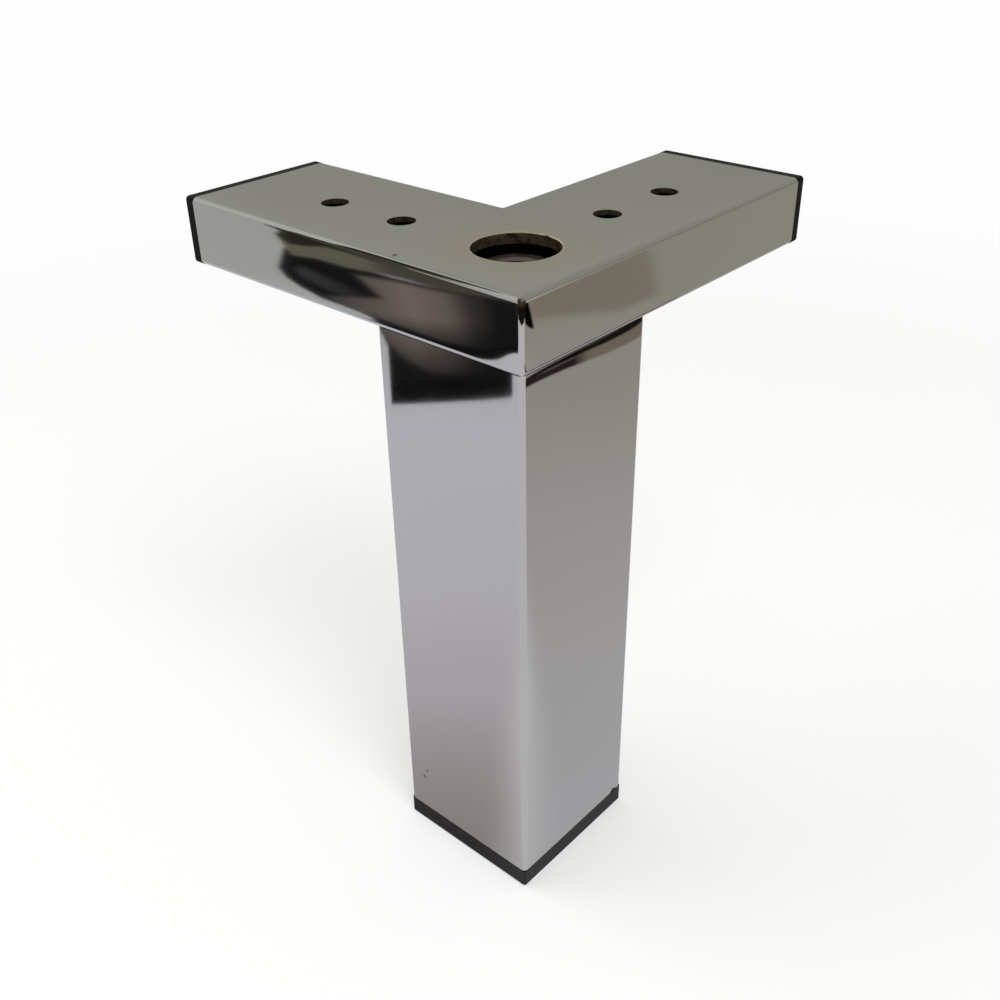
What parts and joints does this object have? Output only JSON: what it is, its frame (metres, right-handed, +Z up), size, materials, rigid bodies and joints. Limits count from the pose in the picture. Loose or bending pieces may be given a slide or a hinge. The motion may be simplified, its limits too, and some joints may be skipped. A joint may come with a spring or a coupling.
{
  "type": "square furniture leg",
  "caption": "Square chrome tube leg under a right-angled corner bracket with screw holes, plastic end caps and a plastic foot.",
  "frame": {"origin": "middle of the foot's underside, on the floor, on the leg's centre line", "axes": "+Z up along the leg to the bracket's top face, +X along the right arm and +Y along the left arm"},
  "size_m": [0.129, 0.129, 0.197],
  "materials": {
    "chrome_plate": "bright chrome plating on polished steel tube",
    "black_plastic": "moulded black polyethylene, satin",
    "bare_steel": "bare mild steel as cut, with welds",
    "zinc_plate": "dull zinc plating"
  },
  "bodies": {
    "root": {"right_arm_tube": "chrome_plate", "left_arm_tube": "chrome_plate", "leg_tube": "chrome_plate", "corner_weld": "chrome_plate", "right_end_cap": "black_plastic", "left_end_cap": "black_plastic", "foot_cap": "black_plastic", "leg_top_plate": "bare_steel", "plate_welds": "bare_steel", "leg_bolt": "zinc_plate", "flat_washer": "zinc_plate", "hex_nut": "zinc_plate"}
  },
  "joints": []
}
